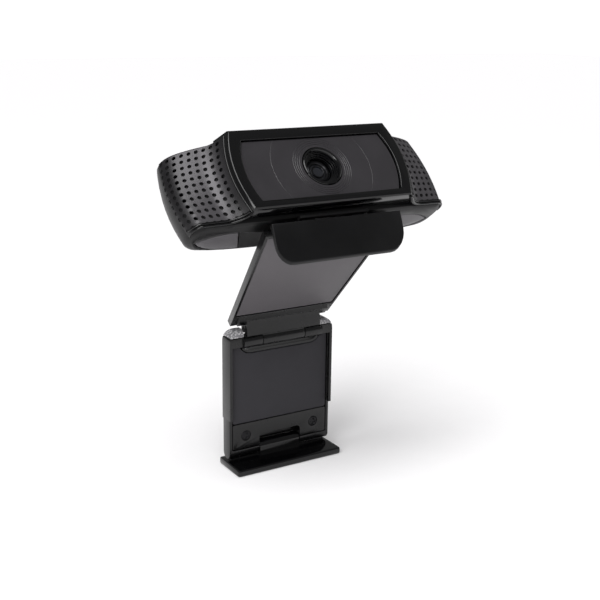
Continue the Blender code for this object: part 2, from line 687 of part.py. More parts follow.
def head_form(wall):
    """The head's closed outer form, or the form inside its walls."""
    low, high = -HEAD_BOTTOM + wall, HEAD_TOP - wall
    levels = [low + (high - low) * i / 8 for i in range(9)]
    rings = []
    steps = [(low, HEAD_EDGE), (low + HEAD_EDGE * 0.35, HEAD_EDGE * 0.35), (low + HEAD_EDGE, 0)]
    steps += [(z, 0) for z in levels[1:-1]]
    steps += [(high - HEAD_EDGE, 0), (high - HEAD_EDGE * 0.35, HEAD_EDGE * 0.35), (high, HEAD_EDGE)]
    for z, rounding in steps:
        outline = inset(head_plan(z), wall + rounding)
        rings.append([(x, y, z * droop(x, z)) for x, y in outline])
    return loft(rings)


def grille_window(clearance, steps=8):
    """The grille's outline from the front: its sides follow the bezel and the wing's tip."""
    half = GRILLE_HEIGHT / 2 - clearance
    heights = [half * (2 * i / steps - 1) for i in range(steps + 1)]
    outer = [(wing_tip(z) - GRILLE_OUTER - clearance, z) for z in heights]
    return outer + [(wing_start(z) + GRILLE_INNER + clearance, z) for z in reversed(heights)]


def leaf(clearance):
    """The underside inset: a leaf with a straight inner end and a pointed tip."""
    shift = clearance
    back = (26.0 + shift, 21.5 - shift)
    tip = (43.2 - shift * 2, 15.6)
    front = (29.5 + shift, 11.4 + shift)
    lower = bezier(back, (33, 22.0 - shift), (40, 20.0 - shift), tip, 6)
    upper = bezier(tip, (38, 11.6 + shift), (34, 11.2 + shift), front, 6)
    return lower + upper + [front]


def mirrored(points):
    return [(-x, v) for x, v in reversed(points)]


def make_rear_housing():
    shell = head_form(0)
    cut(shell, head_form(HEAD_WALL))
    front = BEZEL_DEPTH + GAP
    half_height = BEZEL_HEIGHT / 2 - 2 * BEZEL_WALL
    cut(shell, block((BEZEL_WIDTH - 4 * BEZEL_WALL, 6, half_height * 2), (0, front, 0)))
    for flip in (False, True):
        window = mirrored(grille_window(0)) if flip else grille_window(0)
        cut(shell, prism(window, 0, GRILLE_DEPTH, "Y"))
        pocket = prism(mirrored(leaf(0)) if flip else leaf(0), -HEAD_BOTTOM - 1, 0, "Z")
        cut(shell, cut(pocket, head_form(INSET_THICK + SEAT)))
    wall_y = HEAD_DEPTH - HEAD_WALL
    for x in (-POST_X, POST_X):
        for z in (-POST_Z, POST_Z):
            start = BOARD_Y + BOARD_THICK + GAP
            length = wall_y + 0.6 - start
            join(shell, rod(POST_RADIUS, length, (x, start + length / 2, z), "Y", 20))
            cut(shell, rod(SCREW_SHANK + GAP / 2, 9.0, (x, start, z), "Y", 16))
    for x in (-MIC_X, MIC_X):
        start = MIC_Y + MIC_DEPTH + GAP
        length = wall_y - WING_TAPER / 2 - start
        join(shell, rod(1.6, length, (x, start + length / 2, 0), "Y", 20))
    cut(shell, rod(INLET_RADIUS + GAP / 2, 9, (0, HEAD_DEPTH, INLET_Z), "Y", 32))
    part(shell, "rear_housing", "satin_black", HEAD_TILT, FACE)


def make_grilles():
    for sign, side_name in ((-1, "left"), (1, "right")):
        skin = head_form(0)
        cut(skin, head_form(GRILLE_THICK))
        window = mirrored(grille_window(GAP)) if sign < 0 else grille_window(GAP)
        keep(skin, prism(window, 0, GRILLE_DEPTH, "Y"))
        part(skin, "grille_" + side_name, "grille_grey", HEAD_TILT, FACE)
        plate = cut(head_form(0), head_form(INSET_THICK))
        keep(plate, prism(mirrored(leaf(GAP)) if sign < 0 else leaf(GAP), -HEAD_BOTTOM - 1, 0, "Z"))
        part(plate, "underside_inset_" + side_name, "soft_grey", HEAD_TILT, FACE)


def face_ring(half_width, half_height, y, drop=0.0, bulge=BEZEL_BULGE):
    return [(x, y, z) for x, z in bowed_box(half_width, half_height, bulge, drop)]


def make_front():
    half_width, half_height = BEZEL_WIDTH / 2, BEZEL_HEIGHT / 2
    edge = 0.6
    bezel = loft([face_ring(half_width - edge * 0.6, half_height - edge * 0.7, 0),
                  face_ring(half_width, half_height, edge),
                  face_ring(half_width + BEZEL_FLARE, half_height, BEZEL_DEPTH)])
    opening = bowed_box(PANEL_WIDTH / 2 + GAP, PANEL_HEIGHT / 2 + GAP, PANEL_BULGE, PANEL_DROP)
    cut(bezel, prism(opening, -2, BEZEL_DEPTH + 2, "Y"))
    pocket = bowed_box(half_width + BEZEL_FLARE / 2 - BEZEL_WALL, half_height - BEZEL_WALL, BEZEL_BULGE)
    shelf = PANEL_RECESS + PANEL_THICK + GAP
    cut(bezel, prism(pocket, shelf, BEZEL_DEPTH + 2, "Y"))
    part(bezel, "front_bezel", "gloss_black", HEAD_TILT, FACE)

    panel_outline = bowed_box(PANEL_WIDTH / 2, PANEL_HEIGHT / 2, PANEL_BULGE, PANEL_DROP)
    panel = prism(panel_outline, PANEL_RECESS, PANEL_RECESS + PANEL_THICK, "Y")
    cut(panel, rod(LENS_RING_RADIUS + GAP, 9, (0, 0, -PANEL_DROP), "Y", 48))
    part(panel, "face_panel", "panel_grey", HEAD_TILT, FACE)

    seat = LENS_RING_DEPTH - LENS_GLASS_THICK - 2 * GAP
    ring = [(LENS_RING_RADIUS, LENS_RING_DEPTH), (LENS_RING_RADIUS, 0), (LENS_RING_RADIUS - 0.4, -0.25),
            (LENS_MOUTH, 0), (LENS_THROAT, seat - 0.6), (LENS_THROAT, seat),
            (LENS_GLASS_RADIUS + GAP / 2, seat), (LENS_GLASS_RADIUS + GAP / 2, LENS_RING_DEPTH)]
    part(turned(ring, (0, PANEL_RECESS, -PANEL_DROP)), "lens_ring", "gloss_black", HEAD_TILT, FACE)
    glass_y = PANEL_RECESS + seat + SEAT + LENS_GLASS_THICK / 2
    part(rod(LENS_GLASS_RADIUS, LENS_GLASS_THICK, (0, glass_y, -PANEL_DROP), "Y", 40), "lens_window",
         "glass", HEAD_TILT, FACE)


def make_electronics():
    holder_centre = (0, HOLDER_START + HOLDER_DEPTH / 2, -PANEL_DROP)
    holder = block((HOLDER_WIDTH, HOLDER_DEPTH, HOLDER_WIDTH), holder_centre, 0.4)
    cut(holder, rod(BARREL_RADIUS + GAP, HOLDER_DEPTH * 3, (0, HOLDER_START, -PANEL_DROP), "Y", 36))
    part(holder, "focus_housing", "satin_black", HEAD_TILT, FACE)

    start = HOLDER_START + 0.2
    barrel = turned([(BARREL_RADIUS, 0), (BARREL_RADIUS, BARREL_DEPTH), (2.6, BARREL_DEPTH), (2.2, 2.4),
                     (3.1, 2.2), (3.1, 0)], (0, 0, 0), 36)
    part(barrel, "lens_barrel", "gloss_black", FOCUS, (0, start - HOLDER_START, 0))
    element = turned([(0.0, 0.2), (1.4, 0.35), (2.8, 0.9), (2.8, 1.9), (0.0, 1.9)], (0, 0, 0), 32)
    part(element, "lens_element", "glass", FOCUS, (0, start - HOLDER_START, 0))

    sensor_y = HOLDER_START + HOLDER_DEPTH + GAP
    sensor_thick = BOARD_Y - GAP - sensor_y
    part(block((8.2, sensor_thick, 6.6), (0, sensor_y + sensor_thick / 2, -PANEL_DROP)), "image_sensor",
         "glass", HEAD_TILT, FACE)
    board = block((BOARD_WIDTH, BOARD_THICK, BOARD_HEIGHT), (0, BOARD_Y + BOARD_THICK / 2, 0))
    for x in (-POST_X, POST_X):
        for z in (-POST_Z, POST_Z):
            cut(board, rod(SCREW_SHANK + GAP / 2, 9, (x, BOARD_Y, z), "Y", 16))
    part(board, "main_board", "board_green", HEAD_TILT, FACE)
    corners = [(x, z) for x in (-POST_X, POST_X) for z in (-POST_Z, POST_Z)]
    for number, (x, z) in enumerate(corners, 1):
        place = (FACE[0] + x, FACE[1] + BOARD_Y - GAP / 2 - BOARD_SCREW_THICK, FACE[2] + z)
        screw("board_screw_%d" % number, HEAD_TILT, place, BOARD_SCREW_HEAD, BOARD_SCREW_LENGTH,
              BOARD_SCREW_THICK)
    spreader_y = BOARD_Y + BOARD_THICK + GAP
    part(block((36, 1.2, 16), (0, spreader_y + 0.6, 2), 0.2), "heat_spreader", "aluminium", HEAD_TILT, FACE)

    for sign, side_name in ((-1, "left"), (1, "right")):
        x = sign * MIC_X
        boot = turned([(MIC_RADIUS + GAP / 2, 0), (MIC_RADIUS + 0.8, 0), (MIC_RADIUS + 0.8, MIC_DEPTH),
                       (1.0, MIC_DEPTH), (1.0, MIC_DEPTH - 0.5), (MIC_RADIUS + GAP / 2, MIC_DEPTH - 0.5)],
                      (x, MIC_Y, 0), 28)
        part(boot, "microphone_boot_" + side_name, "rubber", HEAD_TILT, FACE)
        part(rod(MIC_RADIUS, MIC_DEPTH - 1.0, (x, MIC_Y + (MIC_DEPTH - 1.0) / 2, 0), "Y", 28),
             "microphone_" + side_name, "aluminium", HEAD_TILT, FACE)
        pipe_start = PANEL_RECESS + PANEL_THICK + GAP
        pipe_length = BOARD_Y - GAP - pipe_start
        part(block((1.4, pipe_length, 1.4), (sign * PIPE_X, pipe_start + pipe_length / 2, 3.0)),
             "light_pipe_" + side_name, "clear", HEAD_TILT, FACE)

    wall_y = HEAD_DEPTH
    inlet = turned([(1.8, -HEAD_WALL - 1.0), (INLET_RADIUS, -HEAD_WALL - 1.0), (INLET_RADIUS, GAP),
                    (INLET_RADIUS + 0.9, GAP), (INLET_RADIUS + 0.7, 1.3), (1.8, 1.5)],
                   (0, wall_y, INLET_Z), 32)
    part(inlet, "cable_inlet", "rubber", HEAD_TILT, FACE)


def make_tilt_bracket():
    """The bracket under the head: a base with two lugs on the tilt pin. Axis at y = z = 0."""
    base_top = FACE_ABOVE - HEAD_BOTTOM - GAP
    width = 2 * LUG_X + TILT_LUG + 2
    base = block((width, BRACKET_DEPTH, BRACKET_THICK), (0, BRACKET_Y, base_top - BRACKET_THICK / 2))
    for sign in (-1, 1):
        outline = arc((0, 0), TILT_RADIUS, 180, 360, 14)
        outline += [(TILT_RADIUS, base_top - 0.2), (-TILT_RADIUS, base_top - 0.2)]
        start = sign * LUG_X - TILT_LUG / 2
        join(base, prism(outline, start, start + TILT_LUG))
    cut(base, rod(TILT_PIN_RADIUS + GAP / 2, width * 2, (0, 0, 0), "X", 20))
    part(base, "tilt_bracket", "satin_black", HEAD_TILT)


LEG_INNER = LEG_WIDTH - 2 * (LEG_WALL + LEG_STEP)
NECK_REACH = KNUCKLE_RADIUS + NECK_ROOM
FOOT_HINGE_Z = FOOT_THICK + FOOT_STAND + LEG_THICK / 2
SCREW_Z = COVER_LOW + COVER_HEIGHT / 2
SCREW_SINK = LEG_PAD_THICK - 0.2
RECESS_LOW = CLIP_AXIS_Z - RECESS_DROP
PAD_TOP = RECESS_LOW + PAD_HORN
PAD_FLOOR = PLATE_LOW + PAD_PROUD + PAD_THICK + SEAT
LUG_X = TILT_MIDDLE / 2 + GAP + TILT_LUG / 2
FACE = (0, -FACE_FORWARD, FACE_ABOVE)

clear_scene()
PARTS = collection("webcam")
CUTTERS = collection("cutters")
FOOT_HINGE = frame("foot_hinge", None, (0, FOOT_HINGE_Y, FOOT_HINGE_Z))
CLIP_HINGE = frame("clip_hinge", FOOT_HINGE, (0, CLIP_AXIS_Y, CLIP_AXIS_Z), PLATE_LEAN)
HEAD_TILT = frame("head_tilt", CLIP_HINGE, (0, TILT_Y, TILT_Z), HEAD_LEAN - PLATE_LEAN)
FOCUS = frame("focus_axis", HEAD_TILT, (0, HOLDER_START - FACE_FORWARD, FACE_ABOVE - PANEL_DROP))

make_foot()
make_leg()
make_clip()
make_rear_housing()
make_grilles()
make_front()
make_electronics()
make_tilt_bracket()
bpy.context.view_layer.update()
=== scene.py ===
"""A webcam on its fold-out monitor clip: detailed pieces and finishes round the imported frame.

Everything is in metres in the frame's own axes: +X is the webcam's left-to-right as seen from
the front, -Y is the front and +Z is up. HEAD turns the head's own axes into those.
"""
import json
import math

import bmesh
import bpy
from bpy.props import FloatProperty, FloatVectorProperty, IntProperty, PointerProperty
from mathutils import Matrix, Vector


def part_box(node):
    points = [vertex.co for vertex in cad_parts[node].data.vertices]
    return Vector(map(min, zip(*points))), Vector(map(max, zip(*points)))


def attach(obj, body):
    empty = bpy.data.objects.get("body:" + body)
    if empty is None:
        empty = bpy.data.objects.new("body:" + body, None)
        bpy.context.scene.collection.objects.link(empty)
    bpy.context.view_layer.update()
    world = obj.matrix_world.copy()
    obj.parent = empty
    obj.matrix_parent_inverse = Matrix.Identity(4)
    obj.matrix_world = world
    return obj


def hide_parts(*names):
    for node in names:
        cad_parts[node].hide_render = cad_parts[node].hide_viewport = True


bl_info = {
    "name": "Webcam on its clip",
    "version": (1, 0, 0),
    "blender": (4, 5, 0),
    "location": "3D View > Sidebar > Webcam",
    "description": "Models the webcam's visible pieces round its packed frame",
    "category": "Object",
}

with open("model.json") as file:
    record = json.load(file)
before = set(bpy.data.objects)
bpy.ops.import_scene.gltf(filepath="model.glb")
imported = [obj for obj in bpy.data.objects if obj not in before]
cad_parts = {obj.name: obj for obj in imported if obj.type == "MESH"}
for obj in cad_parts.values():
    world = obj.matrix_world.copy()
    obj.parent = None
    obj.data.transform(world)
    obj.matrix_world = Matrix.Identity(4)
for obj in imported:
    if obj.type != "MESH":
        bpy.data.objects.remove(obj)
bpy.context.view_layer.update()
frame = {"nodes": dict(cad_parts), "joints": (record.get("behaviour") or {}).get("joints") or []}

MM = 0.001
HEAD_LEAN = math.radians(-40.0)
FACE_FORWARD = 6.4 * MM  # the face in front of the tilt axis
FACE_ABOVE = 18.1 * MM  # the face's centre above it
LENS_DROP = 0.7 * MM  # the lens below the face's centre


def joint_place(name):
    return Vector(next(j for j in frame["joints"] if j["name"] == name)["pos_m"])


HEAD = (Matrix.Translation(joint_place("head_tilt")) @ Matrix.Rotation(HEAD_LEAN, 4, "X")
        @ Matrix.Translation((0, -FACE_FORWARD, FACE_ABOVE)))
LENS = HEAD @ Matrix.Translation((0, 0, -LENS_DROP))

# The wings' form in the head's own axes, in millimetres
BEZEL_HALF = 28.45  # half width of the bezel's front
BEZEL_HIGH = 13.6  # half its height
BEZEL_BOW = 2.6  # how far its sides bow out
BEZEL_FLARE = 2.6  # how much wider it is at its back
WING_FRONT = 5.9  # the wings' front behind the bezel's
WING_TIP = (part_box("rear_housing")[1].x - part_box("rear_housing")[0].x) / 2 / MM
WING_SWEEP = 2.8  # how far back the wings' outer cheeks lie
WING_TWIST = 0.12  # how much more for each millimetre higher up
WING_BARREL = 1.9  # how much narrower they are at the head's lower edge
HEAD_LOW = 15.1  # from the face's centre to that edge
WING_DROOP = 0.05  # share of the height lost at the tips, above the middle
WING_LIFT = 0.015  # the same below it
WING_ROOT = 25.0  # where that loss starts
CHEEK_IN = 2.8  # from the tip in to the cheek's start
CHEEK_DEEP = 4.6  # from there back to the widest point
FORM_STEPS = 20
FILLET_END = 7  # which point of the wing's form the hollow sweep runs into
FILLET_PULL = 2.4
FILLET_STEPS = 12
CHEEK_STEPS = 8

# The perforated skins and what lies round them, in millimetres
SKIN_START = 0.2  # along the surface from the bezel's rim
SKIN_END = 4.9  # how far short of the widest point the cloth and the plain border end
SKIN_TOP = 12.3
SKIN_LOW = -13.9
SKIN_PROUD = 0.12  # of the head's form
CLOTH_BEHIND = 0.55  # behind the head's form
CLOTH_THICK = 0.15
FIRST_COLUMN = 2.7  # middle of the first column of holes
TOP_ROW = 11.25  # middle of the highest row
ROOT_STRIPS = 2  # strips of faces between the bezel and the holes
TIP_STRIPS = 4  # and between the holes and the tip
TRIM_BEADS = ((-13.55, 0.42, 0.4), (-14.45, 0.34, 1.0))  # height, radius, start along the surface
TRIM_PROUD = 0.3
TRIM_STEPS = 40
TRIM_SINK = 0.8  # how deep the beads run into the tip
TRIM_SINK_STEPS = 10  # over how many of their last steps
SIDE_BEAD = (0.15, 0.1, 0.3)  # along the surface, how proud, and its radius
SIDE_STEPS = 24

# The screws' cross slots and the face's turned rings, in millimetres
SLOT_LONG, SLOT_DEEP, SLOT_WIDE = 2.4, 0.7, 0.64
SLOT_TURN = 20  # degrees
PANEL_BACK = 0.8  # the face panel's front behind the bezel's
FACE_RINGS = (7.8, 8.5, 9.2, 9.9)

# Merging a CAD node's triangles
MERGE_GAP = 0.002 * MM
FLAT_ANGLE = math.radians(0.8)
SHARP_ANGLE = math.radians(42)

# Lights: kind, place in metres, and settings
LIGHTS = {
    "key_softbox": ("AREA", (-0.65, -0.45, 0.25), {"energy": 2.5, "size": 0.35}),
    "fill_softbox": ("AREA", (0.75, -0.1, 0.3), {"energy": 0.4, "size": 0.35}),
    "overhead_softbox": ("SUN", (-0.35, -0.3, 0.9), {"energy": 3.1, "angle": math.radians(50)}),
}
LIGHTS_AIM = Vector((0, 0, 0.06))
ROOM_STRENGTH = 0.24  # of the room's light on the product
BACKDROP_STRENGTH = 1.1  # of the white behind it

CAMERA_PLACE = Vector((-171.46, -290.35, 152.11)) * MM
CAMERA_ANGLES = (-31.58, 15.54, 0.74)  # turn, rise and roll, in degrees
CAMERA_SENSOR, CAMERA_LENS = 36, 62.0
CAMERA_SHIFT = (0.0007, -0.0011)


def linear(code):
    """An sRGB hex colour as linear red, green and blue."""
    channels = [int(code[i:i + 2], 16) / 255 for i in (0, 2, 4)]
    return tuple(c / 12.92 if c <= 0.04045 else ((c + 0.055) / 1.055) ** 2.4 for c in channels)


# ---- sizes and colours a user may change ----

class GrilleSettings(bpy.types.PropertyGroup):
    hole: FloatProperty(name="Hole", description="Diameter of the grilles' holes",
                        default=1.3 * MM, unit="LENGTH", precision=5)
    column_pitch: FloatProperty(name="Column pitch", description="Between holes, along the surface",
                                default=2.3 * MM, unit="LENGTH", precision=5)
    row_pitch: FloatProperty(name="Row pitch", description="Between rows of holes",
                             default=2.24 * MM, unit="LENGTH", precision=5)
    columns: IntProperty(name="Columns", description="Columns of holes", default=9, min=1, max=16)
    rows: IntProperty(name="Rows", description="Rows of holes", default=12, min=1, max=20)
    thickness: FloatProperty(name="Thickness", description="Of the perforated skin",
                             default=0.45 * MM, unit="LENGTH", precision=5)
    colour: FloatVectorProperty(name="Grille colour", description="Of the painted grilles",
                                subtype="COLOR", size=3, default=linear("403e41"))


class ShellSettings(bpy.types.PropertyGroup):
    edge: FloatProperty(name="Edge", description="Rounding of the mouldings' edges",
                        default=0.3 * MM, unit="LENGTH", precision=5)
    black: FloatVectorProperty(name="Satin black", description="Of the textured mouldings",
                               subtype="COLOR", size=3, default=linear("09090a"))
    gloss: FloatVectorProperty(name="Gloss black", description="Of the polished mouldings",
                               subtype="COLOR", size=3, default=linear("040405"))
    pad: FloatVectorProperty(name="Clip pad", description="Of the clip's soft pad",
                             subtype="COLOR", size=3, default=linear("504d50"))
    leg_pad: FloatVectorProperty(name="Leg pad", description="Of the leg's rubber pad",
                                 subtype="COLOR", size=3, default=linear("29282c"))


class FaceSettings(bpy.types.PropertyGroup):
    groove: FloatProperty(name="Groove", description="Radius of the face's turned grooves",
                          default=0.13 * MM, unit="LENGTH", precision=5)
    circle: FloatProperty(name="Circle", description="Radius of the wide circle round the lens",
                          default=17.4 * MM, unit="LENGTH", precision=5)
    colour: FloatVectorProperty(name="Face colour", description="Of the face panel",
                                subtype="COLOR", size=3, default=linear("262427"))


class StageSettings(bpy.types.PropertyGroup):
    floor: FloatVectorProperty(name="Floor", description="Colour of the floor",
                               subtype="COLOR", size=3, default=linear("f4f3f4"))
    reach: FloatProperty(name="Reach", description="Half width of the floor",
                         default=3.0, unit="LENGTH")


# ---- materials ----

def add(tree, kind, inputs=None, **settings):
    """Add one node. inputs are values, or the sockets that feed them; settings are its options."""
    made = tree.nodes.new("ShaderNode" + kind)
    for name, value in settings.items():
        setattr(made, name, value)
    for name, value in (inputs or {}).items():
        if isinstance(value, bpy.types.NodeSocket):
            tree.links.new(value, made.inputs[name])
        else:
            made.inputs[name].default_value = value
    return made


def finish(name, colour, roughness, grain, relief, metallic=0.0, coat=0.0, mottle=0.12, spread=0.04,
           stretch=(1, 1, 1), patch=9 * MM, level=0.5):
    """A surface of two close tones in soft patches, under a fine relief of a real grain size.

    grain is the relief's feature size and relief its height, both in metres; stretch draws the
    grain out along an axis, as brushing and turning do.
    """
    material = bpy.data.materials.new(name)
    material.use_nodes = True
    tree = material.node_tree
    tree.nodes.clear()
    place = add(tree, "TexCoord").outputs["Object"]
    drawn = add(tree, "Mapping", {"Vector": place, "Scale": stretch}).outputs["Vector"]
    patches = add(tree, "TexNoise", {"Vector": place, "Scale": 1 / patch,
                                     "Detail": 3.0}).outputs["Fac"]
    fine = add(tree, "TexNoise", {"Vector": drawn, "Scale": 1 / grain, "Detail": 3.0,
                                  "Roughness": 0.6}).outputs["Fac"]
    both = add(tree, "Math", {0: patches, 1: fine}, operation="MULTIPLY").outputs[0]
    low = [c * (1 - mottle) for c in colour] + [1]
    high = [min(c * (1 + mottle), 1) for c in colour] + [1]
    share = add(tree, "MapRange", {"Value": both, "From Min": 0.15,
                                   "From Max": 0.35}).outputs["Result"]
    tone = add(tree, "Mix", {0: share, 6: low, 7: high}, data_type="RGBA").outputs[2]
    gloss = add(tree, "MapRange", {"Value": patches, "From Min": 0.3, "From Max": 0.7,
                                   "To Min": max(roughness - spread, 0.02),
                                   "To Max": roughness + spread}).outputs["Result"]
    bump = add(tree, "Bump", {"Height": fine, "Distance": relief,
                              "Strength": 1.0}).outputs["Normal"]
    shader = add(tree, "BsdfPrincipled", {"Base Color": tone, "Roughness": gloss,
                                          "Metallic": metallic,
                                          "Coat Weight": coat, "Coat Roughness": 0.04,
                                          "Specular IOR Level": level, "Normal": bump})
    add(tree, "OutputMaterial", {"Surface": shader.outputs["BSDF"]})
    return material


def opened(material):
    """A finish's node tree, its shader and the socket that feeds its base colour."""
    tree = material.node_tree
    shader = next(n for n in tree.nodes if n.type == "BSDF_PRINCIPLED")
    return tree, shader, shader.inputs["Base Color"].links[0].from_socket


def recoloured(tree, shader, share, low, high):
    """Feed a shader's base colour from a mix of two colours."""
    tone = add(tree, "Mix", {0: share, 6: low, 7: high}, data_type="RGBA").outputs[2]
    tree.links.new(tone, shader.inputs["Base Color"])


def grille_with_painted_shade(name, colour, shade_colour):
    """Punched lacquered steel whose colour is darker near the bezel and towards the tips: painted
    shade standing in for the shading of its curved borders.
    """
    material = finish(name, colour, 0.36, 0.25 * MM, 0.01 * MM, metallic=0.3, mottle=0.1)
    tree, shader, base = opened(material)
    place = add(tree, "TexCoord").outputs["Object"]
    across = add(tree, "SeparateXYZ", {"Vector": place}).outputs["X"]
    width = add(tree, "Math", {0: across}, operation="ABSOLUTE").outputs[0]
    # painted shade: the grille's colour runs to the shade colour near the bezel (middle) and towards
    # the tips (edge)
    middle = add(tree, "MapRange", {"Value": width, "From Min": 30.5 * MM, "From Max": 36 * MM},
                 interpolation_type="SMOOTHSTEP").outputs["Result"]
    edge = add(tree, "MapRange", {"Value": width, "From Min": 47 * MM, "From Max": 41 * MM},
               interpolation_type="SMOOTHSTEP").outputs["Result"]
    share = add(tree, "Math", {0: middle, 1: edge}, operation="MULTIPLY").outputs[0]
    recoloured(tree, shader, share, (*shade_colour, 1), base)
    return material


def woven(name, colour):
    """Acoustic cloth behind the grilles, with low diagonal ribs a few millimetres apart."""
    material = finish(name, colour, 0.9, 0.3 * MM, 0.02 * MM)
    tree = material.node_tree
    bump = next(n for n in tree.nodes if n.type == "BUMP")
    place = add(tree, "TexCoord").outputs["Object"]
    ribs = add(tree, "TexWave", {"Vector": place, "Scale": 1 / (6 * MM)},
               bands_direction="DIAGONAL")
    tree.links.new(ribs.outputs["Fac"], bump.inputs["Height"])
    return material


def speckled_painted_sheen(name, colour, glint_colour):
    """Moulded cap of grey grains and paler ones side by side, each a fraction of a millimetre: the
    grain is the real textured finish, while the pale grey and the paler grains are painted sheen of
    light grazing the plastic.
    """
    material = finish(name, colour, 0.6, 0.35 * MM, 0.06 * MM, mottle=0.2)
    tree, shader, base = opened(material)
    place = add(tree, "TexCoord").outputs["Object"]
    # grains of about 0.5 mm, twice their real size so that they show
    grains = add(tree, "TexVoronoi", {"Vector": place, "Scale": 1 / (0.5 * MM)}).outputs["Color"]
    value = add(tree, "SeparateColor", {"Color": grains}).outputs[0]
    share = add(tree, "MapRange", {"Value": value, "From Min": 0.55,
                                   "From Max": 0.75}).outputs["Result"]
    # painted glints: the paler grains
    recoloured(tree, shader, share, base, (*glint_colour, 1))
    return material


def circuit(name):
    """Etched board under green solder mask: tracks 0.4 mm wide show as a paler green."""
    material = finish(name, linear("17492e"), 0.4, 0.3 * MM, 0.01 * MM, coat=0.3)
    tree, shader, base = opened(material)
    place = add(tree, "TexCoord").outputs["Object"]
    tracks = add(tree, "TexBrick", {"Vector": place, "Scale": 1 / (4 * MM), "Mortar Size": 0.05,
                                    "Color1": (0, 0, 0, 1), "Color2": (0, 0, 0, 1),
                                    "Mortar": (1, 1, 1, 1)}).outputs["Color"]
    recoloured(tree, shader, tracks, base, (*linear("2f7a4c"), 1))
    return material


def glass_with_painted_sheen(name, body, sheen_colour):
    """Polished lens glass with an anti-reflection coating: near black, with a tinted edge that is a
    painted reflection, its base colour turning bluish where the glass turns away from view.
    """
    material = finish(name, body, 0.03, 2 * MM, 0.0005 * MM, coat=0.6, mottle=0.05, spread=0.01)
    tree, shader, base = opened(material)
    # painted reflection: the base colour runs to the sheen colour at grazing angles
    facing = add(tree, "LayerWeight", {"Blend": 0.35}).outputs["Facing"]
    recoloured(tree, shader, facing, base, (*sheen_colour, 1))
    return material


MATERIALS = {}


def make_materials():
    scene = bpy.context.scene
    shell, grille, face = scene.webcam_shell, scene.webcam_grille, scene.webcam_face
    MATERIALS.update({
        # polished tool, so sharp reflections with the faintest orange peel
        "gloss": finish("abs_polished_black", shell.gloss, 0.1, 1.6 * MM, 0.002 * MM, level=0.4),
        # spark-eroded tool, so a dull even sheen broken by a 0.2 mm grain
        "satin": finish("abs_spark_eroded_black", shell.black, 0.36, 0.2 * MM, 0.01 * MM,
                        level=0.22),
        # fine matt tool on the leg and clip, a little shinier than the head
        "clip": finish("abs_fine_matt_black", shell.black, 0.25, 0.16 * MM, 0.006 * MM,
                       spread=0.06, level=0.4),
        # thermoplastic rubber, moulded matt: no sharp highlight, soft cloudy tone
        "rubber": finish("tpe_rubber_matt", shell.leg_pad, 0.62, 0.3 * MM, 0.015 * MM,
                         mottle=0.1, level=0.3),
        # foam-backed polyurethane film on the clip, smooth with a silky sheen
        "pad": finish("polyurethane_pad_silky", shell.pad, 0.5, 0.22 * MM, 0.01 * MM, mottle=0.06),
        # lacquered steel sheet, punched: fine lacquer texture and a soft metallic sheen, with
        # painted shade darkening its borders
        "grille": grille_with_painted_shade("steel_punched_lacquered_painted_shade", grille.colour, linear("161517")),
        "cloth": woven("polyester_cloth_black", linear("050506")),
        # textured polycarbonate of the face, warm grey behind a clear satin lacquer
        "face": finish("polycarbonate_face_satin", face.colour, 0.32, 0.25 * MM, 0.004 * MM,
                       coat=0.15, mottle=0.05),
        # smooth moulded insets under the wings
        "inset": finish("abs_moulded_grey", linear("4a484b"), 0.38, 0.3 * MM, 0.006 * MM,
                        mottle=0.06),
        # textured black hinge cap painted pale grey with paler grains: painted grazing sheen
        "frosted": speckled_painted_sheen("abs_grey_painted_sheen", linear("79787b"), linear("b9b8ba")),
        # turned and ground steel: fine rings along the pin
        "steel": finish("steel_ground", linear("9c9c9e"), 0.28, 0.3 * MM, 0.004 * MM, metallic=1.0,
                        stretch=(3, 0.4, 0.4)),
        # machined brass insert
        "brass": finish("brass_machined", linear("b38d48"), 0.3, 0.4 * MM, 0.006 * MM, metallic=1.0,
                        stretch=(1, 4, 1)),
        # drawn aluminium
        "aluminium": finish("aluminium_stamped", linear("a9aaac"), 0.35, 0.3 * MM, 0.006 * MM,
                            metallic=1.0, stretch=(0.3, 1, 2)),
        # blackened screw steel, slightly oily
        "screw": finish("steel_black_oxide", linear("232325"), 0.28, 0.25 * MM, 0.01 * MM,
                        metallic=0.8),
        "board": circuit("board_solder_mask"),
        # both glasses carry a painted reflection, tinted at their edges
        "glass": glass_with_painted_sheen("glass_coated_painted_sheen", linear("08090d"), linear("1d2230")),
        "element": glass_with_painted_sheen("glass_element_coated_painted_sheen", linear("0b0c14"), linear("3a3550")),
        # acrylic light guide, polished ends
        "acrylic": finish("acrylic_clear_moulded", linear("c4c7cc"), 0.12, 1.5 * MM, 0.001 * MM,
                          coat=0.4),
    })


# ---- modelling tools ----

def alone(obj):
    """Make an object the only one selected, and active."""
    if bpy.context.mode != "OBJECT":
        bpy.ops.object.mode_set(mode="OBJECT")
    bpy.ops.object.select_all(action="DESELECT")
    obj.select_set(True)
    bpy.context.view_layer.objects.active = obj


def stepped(obj, kind, **settings):
    """Add a modifier and apply it."""
    alone(obj)
    step = obj.modifiers.new(kind.lower(), kind)
    for name, value in settings.items():
        setattr(step, name, value)
    bpy.ops.object.modifier_apply(modifier=step.name)


def smooth(obj, angle=32):
    alone(obj)
    bpy.ops.object.shade_smooth_by_angle(angle=math.radians(angle))


def dress(obj, material, slot, body, *nodes):
    """Give a piece its finish, and let it ride on a body in place of CAD nodes. slot is not used."""
    obj.data.materials.clear()
    obj.data.materials.append(MATERIALS[material])
    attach(obj, body)
    if nodes:
        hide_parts(*nodes)
    return obj


